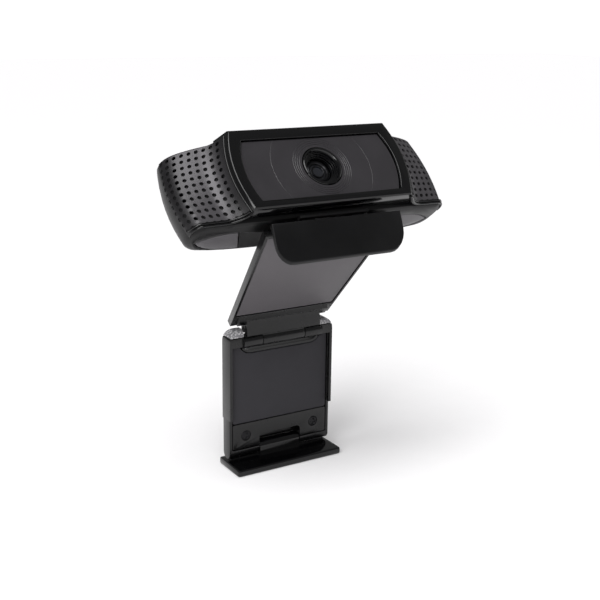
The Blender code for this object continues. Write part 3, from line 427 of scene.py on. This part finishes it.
def merged_copy(node, name):
    """A copy of a CAD node with its loose triangles merged into flat faces."""
    source = frame["nodes"][node]
    obj = bpy.data.objects.new(name, source.data.copy())
    bpy.context.scene.collection.objects.link(obj)
    alone(obj)
    bpy.ops.object.mode_set(mode="EDIT")
    bpy.ops.mesh.select_all(action="SELECT")
    bpy.ops.mesh.remove_doubles(threshold=MERGE_GAP)
    bpy.ops.mesh.dissolve_limited(angle_limit=FLAT_ANGLE)
    bpy.ops.mesh.customdata_custom_splitnormals_clear()
    bpy.ops.object.mode_set(mode="OBJECT")
    return obj


def softened(node, edge):
    """A merged copy of a CAD node whose sharp edges are rounded, as a moulding's are."""
    obj = merged_copy(node, node + "_soft")
    stepped(obj, "BEVEL", width=edge, segments=3, limit_method="ANGLE", angle_limit=SHARP_ANGLE,
            use_clamp_overlap=True, harden_normals=False, miter_outer="MITER_ARC")
    smooth(obj)
    return obj


def turned(name, profile, steps=96):
    """Spin a profile of (radius, depth) points, in millimetres, about the lens axis."""
    mesh = bpy.data.meshes.new(name)
    points = [LENS @ Vector((radius * MM, depth * MM, 0)) for radius, depth in profile]
    mesh.from_pydata(points, [(i, i + 1) for i in range(len(points) - 1)], [])
    obj = bpy.data.objects.new(name, mesh)
    bpy.context.scene.collection.objects.link(obj)
    alone(obj)
    bpy.ops.object.mode_set(mode="EDIT")
    bpy.ops.mesh.select_all(action="SELECT")
    bpy.ops.mesh.spin(steps=steps, angle=2 * math.pi, center=LENS.translation,
                      axis=LENS.to_3x3() @ Vector((0, 1, 0)))
    bpy.ops.mesh.select_all(action="SELECT")
    bpy.ops.mesh.remove_doubles(threshold=0.001 * MM)
    bpy.ops.mesh.normals_make_consistent(inside=False)
    bpy.ops.object.mode_set(mode="OBJECT")
    smooth(obj, 28)
    return obj


def bead(name, points, radius):
    """A round bead along points that are in metres in the frame's axes."""
    curve = bpy.data.curves.new(name, "CURVE")
    curve.dimensions = "3D"
    curve.bevel_depth = radius
    curve.bevel_resolution = 3
    curve.use_fill_caps = True
    spline = curve.splines.new("POLY")
    spline.points.add(len(points) - 1)
    for point, place in zip(spline.points, points):
        point.co = (*place, 1)
    obj = bpy.data.objects.new(name, curve)
    bpy.context.scene.collection.objects.link(obj)
    alone(obj)
    bpy.ops.object.convert(target="MESH")
    obj = bpy.context.view_layer.objects.active
    smooth(obj, 50)
    return obj


def joined(name, pieces):
    """Several pieces as one."""
    alone(pieces[0])
    for piece in pieces[1:]:
        piece.select_set(True)
    bpy.ops.object.join()
    obj = bpy.context.view_layer.objects.active
    obj.name = name
    obj.data.name = name
    return obj


# ---- the wings' surface ----

def cubic(start, pull, push, end, steps):
    """Points on a cubic curve, without its end."""
    result = []
    for i in range(steps):
        t = i / steps
        weights = ((1 - t) ** 3, 3 * t * (1 - t) ** 2, 3 * t * t * (1 - t), t ** 3)
        result.append(tuple(sum(w * p[k] for w, p in zip(weights, (start, pull, push, end)))
                            for k in (0, 1)))
    return result


def wing_line(z, proud):
    """The wing's front in plan at a height, from the bezel's rim to the tip, in millimetres."""
    tip = WING_TIP - WING_BARREL * (z / HEAD_LOW) ** 2 + proud
    root = BEZEL_HALF + BEZEL_BOW * max(1 - (z / BEZEL_HIGH) ** 2, 0) + proud
    front = WING_FRONT - proud
    cheek = front + WING_SWEEP + WING_TWIST * z
    inner = root + BEZEL_FLARE
    form = cubic((inner, front), (inner + 2.9, front + 0.9), (tip - 6.4, (front + cheek) / 2),
                 (tip - CHEEK_IN, cheek), FORM_STEPS)
    # a hollow sweep from the bezel's rim that runs out into the wing's form
    (x0, y0), (x1, y1) = form[FILLET_END:FILLET_END + 2]
    reach = FILLET_PULL / math.hypot(x1 - x0, y1 - y0)
    line = cubic((root + 0.35, 1.3), (root + 1.7, 4.1),
                 (x0 - (x1 - x0) * reach, y0 - (y1 - y0) * reach), (x0, y0), FILLET_STEPS)
    line += form[FILLET_END:]
    widest = (tip, cheek + CHEEK_DEEP)
    line += cubic((tip - CHEEK_IN, cheek), (tip - 1.6, cheek + 0.8), (tip, cheek + 2.4), widest,
                  CHEEK_STEPS)
    return line + [widest]


def along(line, distance):
    """The point a distance along a plan line."""
    for (x0, y0), (x1, y1) in zip(line, line[1:]):
        step = math.hypot(x1 - x0, y1 - y0)
        if distance <= step:
            share = distance / step
            return x0 + (x1 - x0) * share, y0 + (y1 - y0) * share
        distance -= step
    return line[-1]


def length(line):
    return sum(math.hypot(b[0] - a[0], b[1] - a[1]) for a, b in zip(line, line[1:]))


def wing_point(distance, z, proud=SKIN_PROUD):
    """A point of the right wing's skin, in the frame's axes."""
    x, y = along(wing_line(z, proud), distance)
    reach = max(x - WING_ROOT, 0) / (WING_TIP - WING_ROOT)
    z *= 1 - (WING_DROOP if z > 0 else WING_LIFT) * reach ** 2
    return HEAD @ Vector((x * MM, y * MM, z * MM))


def skin_length():
    """How far the cloth reaches along the surface, and the skins if their holes stop short of it."""
    return min(length(wing_line(z, 0)) for z in (SKIN_TOP, 0, SKIN_LOW)) - SKIN_END


def perforated_skin(name, settings):
    """The right wing's skin with a square grid of round holes, as one open sheet.

    A sheet that bends two ways, with a hundred true holes in rows that follow it, comes from
    mesh code: each cell is a ring of twelve faces between its square border and its hole.
    """
    column, row = settings.column_pitch / MM, settings.row_pitch / MM
    radius = settings.hole / 2 / MM
    mesh = bmesh.new()
    cache = {}

    def vertex(u, z):
        key = (round(u, 4), round(z, 4))
        if key not in cache:
            cache[key] = mesh.verts.new(wing_point(u, z))
        return cache[key]

    lefts = [FIRST_COLUMN + column * (i - 0.5) for i in range(settings.columns + 1)]
    tops = [TOP_ROW - row * (i - 0.5) for i in range(settings.rows + 1)]
    for i in range(settings.columns):
        for j in range(settings.rows):
            u, z = lefts[i] + column / 2, tops[j] - row / 2
            border, hole = [], []
            corners = [(1, 1), (-1, 1), (-1, -1), (1, -1)]
            for k, (a, b) in enumerate(corners):
                c, d = corners[(k + 1) % 4]
                for third in range(3):
                    share = third / 3
                    border.append(vertex(u + column / 2 * (a + (c - a) * share),
                                         z + row / 2 * (b + (d - b) * share)))
                    turn = math.radians(45 + 90 * k + 30 * third)
                    hole.append(vertex(u + radius * math.cos(turn), z + radius * math.sin(turn)))
            for k in range(12):
                m = (k + 1) % 12
                mesh.faces.new((border[k], border[m], hole[m], hole[k]))
    # plain borders at the ends of the rows, which meet the outer cells point for point; there is
    # none at the tip where the holes run on past it, as the usual nine columns do
    thirds = sorted({round(t - row * s / 3, 4) for t in tops[:-1] for s in range(4)}, reverse=True)
    first, last, end = lefts[0], lefts[-1], skin_length()
    root = [SKIN_START + (first - SKIN_START) * s / ROOT_STRIPS for s in range(ROOT_STRIPS + 1)]
    tip = [last + (end - last) * s / TIP_STRIPS for s in range(TIP_STRIPS + 1)]
    for strip in (root, tip) if end > last else (root,):
        for u0, u1 in zip(strip, strip[1:]):
            for z1, z0 in zip(thirds, thirds[1:]):
                mesh.faces.new((vertex(u0, z0), vertex(u1, z0), vertex(u1, z1), vertex(u0, z1)))
    data = bpy.data.meshes.new(name)
    mesh.to_mesh(data)
    mesh.free()
    obj = bpy.data.objects.new(name, data)
    bpy.context.scene.collection.objects.link(obj)
    return obj


def cloth_sheet(name):
    """The right wing's acoustic cloth, just behind its skin."""
    across, high = 16, 12
    reach = skin_length() - SKIN_START
    points, faces = [], []
    for i in range(across + 1):
        for j in range(high + 1):
            z = SKIN_LOW + (SKIN_TOP - SKIN_LOW) * j / high
            points.append(wing_point(SKIN_START + reach * i / across, z, -CLOTH_BEHIND))
    for i in range(across):
        for j in range(high):
            a = i * (high + 1) + j
            faces.append((a, a + high + 1, a + high + 2, a + 1))
    data = bpy.data.meshes.new(name)
    data.from_pydata(points, [], faces)
    obj = bpy.data.objects.new(name, data)
    bpy.context.scene.collection.objects.link(obj)
    flip_out(obj)
    return obj


def oriented(obj):
    """Merge doubles and point every face outwards."""
    alone(obj)
    bpy.ops.object.mode_set(mode="EDIT")
    bpy.ops.mesh.select_all(action="SELECT")
    bpy.ops.mesh.remove_doubles(threshold=0.001 * MM)
    bpy.ops.mesh.normals_make_consistent(inside=False)
    bpy.ops.object.mode_set(mode="OBJECT")


def flip_out(obj):
    """Turn an open sheet's faces so that they point to the front."""
    forward = HEAD.to_3x3() @ Vector((0, -1, 0))
    total = sum(((p.normal * p.area) for p in obj.data.polygons), Vector())
    if total.dot(forward) < 0:
        obj.data.flip_normals()


def mirrored_copy(obj, name):
    """The other hand's piece: a copy with its own mesh, its place in its vertices."""
    data = obj.data.copy()
    data.name = name
    data.transform(Matrix.Scale(-1, 4, (1, 0, 0)))
    data.flip_normals()
    twin = bpy.data.objects.new(name, data)
    bpy.context.scene.collection.objects.link(twin)
    return twin


# ---- operators ----

class WEBCAM_OT_stage(bpy.types.Operator):
    """Lay the floor, hang the soft lights and set up the camera"""
    bl_idname = "webcam.stage"
    bl_label = "Stage"

    def execute(self, context):
        settings = context.scene.webcam_stage
        bpy.ops.object.select_all(action="DESELECT")
        bpy.ops.mesh.primitive_plane_add(size=2 * settings.reach)
        floor = context.view_layer.objects.active
        floor.name = "studio_floor"
        floor.data.materials.append(finish("paper_sweep_matt", settings.floor, 0.9, 2 * MM, 0.0,
                                           mottle=0.004, level=0.0))
        world = bpy.data.worlds.new("studio")
        context.scene.world = world
        world.use_nodes = True
        tree = world.node_tree
        tree.nodes.clear()
        # a white cyclorama behind, and a dim room round the product
        seen = add(tree, "LightPath").outputs["Is Camera Ray"]
        strength = add(tree, "MapRange", {"Value": seen, "To Min": ROOM_STRENGTH,
                                          "To Max": BACKDROP_STRENGTH}).outputs["Result"]
        sky = add(tree, "Background", {"Color": (1, 1, 1, 1), "Strength": strength})
        add(tree, "OutputWorld", {"Surface": sky.outputs["Background"]})
        context.scene.view_settings.view_transform = "Standard"
        for name, (kind, place, options) in LIGHTS.items():
            light = bpy.data.lights.new(name, kind)
            for option, value in options.items():
                setattr(light, option, value)
            lamp = bpy.data.objects.new(name, light)
            lamp.location = place
            lamp.rotation_euler = (LIGHTS_AIM - lamp.location).to_track_quat("-Z", "Y").to_euler()
            context.scene.collection.objects.link(lamp)
        turn, rise, roll = (math.radians(a) for a in CAMERA_ANGLES)
        back = Vector((math.sin(turn) * math.cos(rise), -math.cos(turn) * math.cos(rise),
                       math.sin(rise)))
        right = Vector((math.cos(turn), math.sin(turn), 0))
        up = back.cross(right)
        side = right * math.cos(roll) + up * math.sin(roll)
        top = up * math.cos(roll) - right * math.sin(roll)
        data = bpy.data.cameras.new("studio_camera")
        data.sensor_width, data.lens = CAMERA_SENSOR, CAMERA_LENS
        data.shift_x, data.shift_y = CAMERA_SHIFT
        camera = bpy.data.objects.new("studio_camera", data)
        camera.matrix_world = (Matrix.Translation(CAMERA_PLACE)
                               @ Matrix((side, top, back)).transposed().to_4x4())
        context.scene.collection.objects.link(camera)
        context.scene.camera = camera
        return {"FINISHED"}


class WEBCAM_OT_mouldings(bpy.types.Operator):
    """Round the edges of the moulded pieces and give them their finishes"""
    bl_idname = "webcam.mouldings"
    bl_label = "Mouldings"

    def execute(self, context):
        edge = context.scene.webcam_shell.edge
        for node, body, material, slot, width in (
                ("foot", "foot", "gloss", "foot", edge),
                ("leg_shell", "leg", "clip", "leg_shell", edge * 0.6),
                ("base_cover", "leg", "clip", "satin_plastic", edge * 0.5),
                ("leg_pad", "leg", "rubber", "leg_pad", edge * 0.6),
                ("hinge_cap_left", "leg", "frosted", "frosted", edge * 0.5),
                ("hinge_cap_right", "leg", "frosted", "frosted", edge * 0.5),
                ("clip_plate", "clip", "clip", "satin_plastic", edge * 0.7),
                ("clip_pad", "clip", "pad", "clip_pad", edge * 0.8),
                ("lip", "clip", "satin", "satin_plastic", edge),
                ("lip_pad", "clip", "rubber", "leg_pad", edge * 0.6),
                ("front_bezel", "head", "gloss", "gloss_plastic", edge * 0.8),
                ("rear_housing", "head", "satin", "satin_plastic", edge * 0.6),
                ("underside_inset_left", "head", "inset", "inset", edge * 0.3),
                ("underside_inset_right", "head", "inset", "inset", edge * 0.3),
                ("tilt_bracket", "head", "satin", "satin_plastic", edge * 0.5),
                ("cable_inlet", "head", "rubber", "boot", edge * 0.6)):
            dress(softened(node, width), material, slot, body, node)
        return {"FINISHED"}


class WEBCAM_OT_screws(bpy.types.Operator):
    """Cut the cross slots of the two base screws"""
    bl_idname = "webcam.screws"
    bl_label = "Screws"

    def execute(self, context):
        for side in ("left", "right"):
            node = "base_screw_" + side
            low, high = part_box(node)
            middle = (low + high) / 2
            screw = merged_copy(node, node + "_slotted")
            for size in ((SLOT_LONG, SLOT_DEEP, SLOT_WIDE), (SLOT_WIDE, SLOT_DEEP, SLOT_LONG)):
                bpy.ops.object.select_all(action="DESELECT")
                bpy.ops.mesh.primitive_cube_add(size=1)
                cutter = context.view_layer.objects.active
                cutter.data.transform(Matrix.Translation((middle.x, low.y, middle.z))
                                      @ Matrix.Rotation(math.radians(SLOT_TURN), 4, "Y")
                                      @ Matrix.Diagonal((*(Vector(size) * MM), 1)))
                stepped(screw, "BOOLEAN", operation="DIFFERENCE", object=cutter, solver="EXACT")
                bpy.data.objects.remove(cutter)
            stepped(screw, "BEVEL", width=0.06 * MM, segments=2, limit_method="ANGLE",
                    angle_limit=SHARP_ANGLE, use_clamp_overlap=True)
            smooth(screw)
            dress(screw, "screw", "screws", "leg", node)
        return {"FINISHED"}


class WEBCAM_OT_grilles(bpy.types.Operator):
    """Perforate the two wings' skins"""
    bl_idname = "webcam.grilles"
    bl_label = "Grilles"

    def execute(self, context):
        settings = context.scene.webcam_grille
        right = perforated_skin("grille_skin_right", settings)
        oriented(right)
        flip_out(right)
        stepped(right, "SOLIDIFY", thickness=settings.thickness, offset=-1.0)
        smooth(right, 40)
        left = mirrored_copy(right, "grille_skin_left")
        smooth(left, 40)
        cloth = cloth_sheet("acoustic_cloth_right")
        stepped(cloth, "SOLIDIFY", thickness=CLOTH_THICK * MM, offset=-1.0)
        for piece in (cloth, mirrored_copy(cloth, "acoustic_cloth_left")):
            smooth(piece, 60)
            dress(piece, "cloth", "boot", "head")
        dress(right, "grille", "grille", "head", "grille_right")
        dress(left, "grille", "grille", "head", "grille_left")
        return {"FINISHED"}


class WEBCAM_OT_trims(bpy.types.Operator):
    """Run the polished beads along the wings' lower edges and beside the bezel"""
    bl_idname = "webcam.trims"
    bl_label = "Trims"

    def execute(self, context):
        beads = []
        for z, radius, start in TRIM_BEADS:
            reach = length(wing_line(z, 0)) - start
            path = []
            for i in range(TRIM_STEPS + 1):
                sink = max(i - TRIM_STEPS + TRIM_SINK_STEPS, 0) / TRIM_SINK_STEPS
                path.append(wing_point(start + reach * i / TRIM_STEPS, z,
                                       TRIM_PROUD - TRIM_SINK * sink ** 2))
            beads.append(bead("trim", path, radius * MM))
        distance, proud, radius = SIDE_BEAD
        path = [wing_point(distance, SKIN_LOW + (SKIN_TOP - SKIN_LOW) * i / SIDE_STEPS, proud)
                for i in range(SIDE_STEPS + 1)]
        beads.append(bead("trim", path, radius * MM))
        right = joined("wing_trim_right", beads)
        left = mirrored_copy(right, "wing_trim_left")
        for piece in (right, left):
            smooth(piece, 50)
            dress(piece, "gloss", "gloss_plastic", "head")
        return {"FINISHED"}


class WEBCAM_OT_face(bpy.types.Operator):
    """Turn the grooves round the lens into the face panel"""
    bl_idname = "webcam.face"
    bl_label = "Face panel"

    def execute(self, context):
        settings = context.scene.webcam_face
        panel = merged_copy("face_panel", "face_panel_grooved")
        front = (LENS @ Matrix.Translation((0, PANEL_BACK * MM, 0))
                 @ Matrix.Rotation(math.pi / 2, 4, "X"))
        rings = [(radius * MM, settings.groove) for radius in FACE_RINGS]
        for radius, groove in rings + [(settings.circle, settings.groove * 0.6)]:
            bpy.ops.object.select_all(action="DESELECT")
            bpy.ops.mesh.primitive_torus_add(major_radius=radius, minor_radius=groove,
                                             major_segments=144, minor_segments=8)
            cutter = context.view_layer.objects.active
            cutter.data.transform(front)
            stepped(panel, "BOOLEAN", operation="DIFFERENCE", object=cutter, solver="EXACT")
            bpy.data.objects.remove(cutter)
        smooth(panel, 24)
        dress(panel, "face", "panel", "head", "face_panel")
        return {"FINISHED"}


class WEBCAM_OT_lens(bpy.types.Operator):
    """Turn the lens ring, its stepped cone, the glass and the inner lens"""
    bl_idname = "webcam.lens"
    bl_label = "Lens"

    def execute(self, context):
        ring = turned("lens_ring_turned", [
            (6.6, 5.3), (6.6, 0.75), (6.5, 0.6), (6.2, 0.5), (5.95, 0.55), (5.75, 0.8),
            (5.6, 1.15), (5.35, 1.2), (5.25, 1.7), (5.0, 1.75), (4.9, 2.3), (4.65, 2.35),
            (4.55, 2.95), (4.3, 3.0), (4.2, 3.6), (4.2, 4.45), (4.6, 4.45), (4.6, 5.3),
            (6.6, 5.3)])
        dress(ring, "gloss", "gloss_plastic", "head", "lens_ring")
        window = turned("lens_window_domed", [
            (0.0, 4.15), (1.2, 4.17), (2.4, 4.24), (3.4, 4.38), (4.1, 4.55), (4.45, 4.62),
            (4.45, 5.2), (0.0, 5.2)])
        dress(window, "glass", "glass", "head", "lens_window")
        holder = turned("lens_retaining_ring", [
            (2.75, 3.98), (3.0, 3.75), (3.3, 3.72), (3.6, 3.9), (3.9, 4.0), (4.05, 4.3), (2.6, 4.3),
            (2.75, 3.98)])
        dress(holder, "screw", "satin_plastic", "head")
        inner = turned("lens_inner_ring", [
            (1.75, 3.95), (1.9, 3.8), (2.15, 3.8), (2.3, 3.97), (2.3, 4.35), (1.75, 4.35),
            (1.75, 3.95)])
        dress(inner, "screw", "satin_plastic", "head")
        return {"FINISHED"}


class WEBCAM_OT_inner_finishes(bpy.types.Operator):
    """Give the pieces that keep their own shape their finishes"""
    bl_idname = "webcam.inner_finishes"
    bl_label = "Inner finishes"

    def execute(self, context):
        finishes = {
            "steel": ("foot_pin", "leg_core", "hinge_pin", "tilt_pin"),
            "brass": ("tripod_insert",),
            "satin": ("focus_housing",),
            "gloss": ("lens_barrel",),
            "element": ("lens_element",),
            "glass": ("image_sensor",),
            "board": ("main_board",),
            "aluminium": ("heat_spreader", "microphone_left", "microphone_right"),
            "rubber": ("microphone_boot_left", "microphone_boot_right"),
            "acrylic": ("light_pipe_left", "light_pipe_right"),
            "screw": ("board_screw_1", "board_screw_2", "board_screw_3", "board_screw_4"),
        }
        for material, nodes in finishes.items():
            for name in nodes:
                obj = frame["nodes"][name]
                obj.data.materials.clear()
                obj.data.materials.append(MATERIALS[material])
        return {"FINISHED"}


STEPS = (WEBCAM_OT_stage, WEBCAM_OT_mouldings, WEBCAM_OT_screws, WEBCAM_OT_grilles, WEBCAM_OT_trims,
         WEBCAM_OT_face, WEBCAM_OT_lens, WEBCAM_OT_inner_finishes)


class WEBCAM_PT_panel(bpy.types.Panel):
    """Lists the webcam's sizes, colours and steps"""
    bl_idname = "WEBCAM_PT_panel"
    bl_label = "Webcam"
    bl_space_type = "VIEW_3D"
    bl_region_type = "UI"
    bl_category = "Webcam"

    def draw(self, context):
        for group in (context.scene.webcam_grille, context.scene.webcam_shell,
                      context.scene.webcam_face, context.scene.webcam_stage):
            box = self.layout.box()
            for name in group.__annotations__:
                box.prop(group, name)
        for step in STEPS:
            self.layout.operator(step.bl_idname)


GROUPS = {"webcam_grille": GrilleSettings, "webcam_shell": ShellSettings,
          "webcam_face": FaceSettings, "webcam_stage": StageSettings}


def register():
    for name, group in GROUPS.items():
        bpy.utils.register_class(group)
        setattr(bpy.types.Scene, name, PointerProperty(type=group))
    for kind in (*STEPS, WEBCAM_PT_panel):
        bpy.utils.register_class(kind)


def unregister():
    for kind in reversed((*STEPS, WEBCAM_PT_panel)):
        bpy.utils.unregister_class(kind)
    for name, group in reversed(GROUPS.items()):
        delattr(bpy.types.Scene, name)
        bpy.utils.unregister_class(group)


def main():
    register()
    make_materials()
    bpy.ops.webcam.stage()
    bpy.ops.webcam.mouldings()
    bpy.ops.webcam.screws()
    bpy.ops.webcam.grilles()
    bpy.ops.webcam.trims()
    bpy.ops.webcam.face()
    bpy.ops.webcam.lens()
    bpy.ops.webcam.inner_finishes()


if __name__ == "__main__":
    main()
